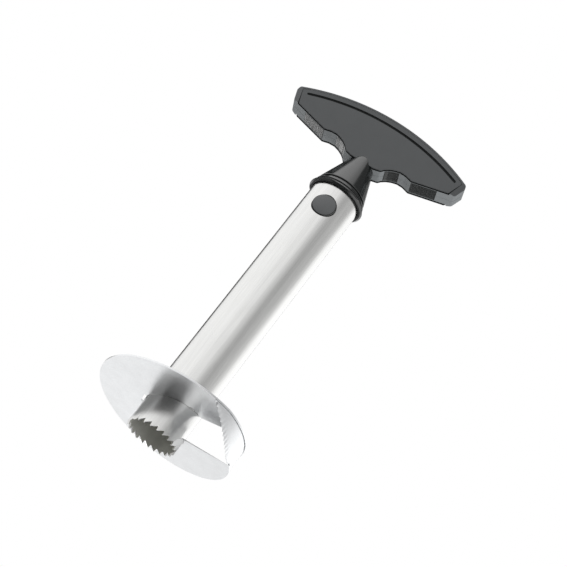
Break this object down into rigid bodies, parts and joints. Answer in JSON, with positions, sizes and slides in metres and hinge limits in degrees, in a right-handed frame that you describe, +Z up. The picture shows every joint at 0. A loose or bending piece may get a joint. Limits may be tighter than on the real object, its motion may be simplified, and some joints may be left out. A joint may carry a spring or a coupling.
{
  "type": "pineapple slicer",
  "caption": "Hand tool that cores and slices a pineapple: toothed steel tube with a spiral blade at its foot, and a T grip locked in the tube by sprung push buttons.",
  "frame": {"origin": "on the tube's axis, in the plane of the tooth tips that it stands on", "axes": "+Z up the tube towards the grip, X along the T grip, -Y towards the front button"},
  "size_m": [0.122, 0.093, 0.2596],
  "materials": {
    "tube_steel": "satin, brushed along the tube",
    "blade_steel": "polished sheet",
    "plug_plastic": "plain moulded",
    "button_plastic": "fine satin",
    "zinc_steel": "zinc plated",
    "collar_plastic": "high gloss",
    "neck_plastic": "satin",
    "insert_brass": "turned",
    "grip_plastic": "spark eroded texture",
    "panel_plastic": "fine matte",
    "pad_rubber": "pebbled soft rubber"
  },
  "bodies": {
    "root": {"core_tube": "tube_steel", "slicing_blade": "blade_steel", "rim_knife": "blade_steel", "plug_body": "plug_plastic", "plug_end_cap": "plug_plastic", "spring_seat": "plug_plastic", "button_guide_front": "plug_plastic", "button_guide_rear": "plug_plastic", "button_spring_front": "zinc_steel", "button_spring_rear": "zinc_steel", "collar_ring": "collar_plastic", "neck_cone": "neck_plastic", "clamp_bolt": "zinc_steel", "bolt_washer": "zinc_steel", "grip_insert": "insert_brass", "grip_core": "grip_plastic", "front_panel": "panel_plastic", "rear_panel": "panel_plastic", "inner_pad_left": "pad_rubber", "inner_pad_right": "pad_rubber", "outer_pad_left": "pad_rubber", "outer_pad_right": "pad_rubber"},
    "button_front": {"release_button_front": "button_plastic"},
    "button_rear": {"release_button_rear": "button_plastic"}
  },
  "joints": [
    {"name": "press_front", "type": "slide", "parent": "root", "child": "button_front", "axis": [0, 1, 0], "range_m": [0, 0.003], "stiffness_N_per_m": 600, "springref_m": -0.002, "deforming": ["button_spring_front"]},
    {"name": "press_rear", "type": "slide", "parent": "root", "child": "button_rear", "axis": [0, -1, 0], "range_m": [0, 0.003], "stiffness_N_per_m": 600, "springref_m": -0.002, "deforming": ["button_spring_rear"]}
  ]
}
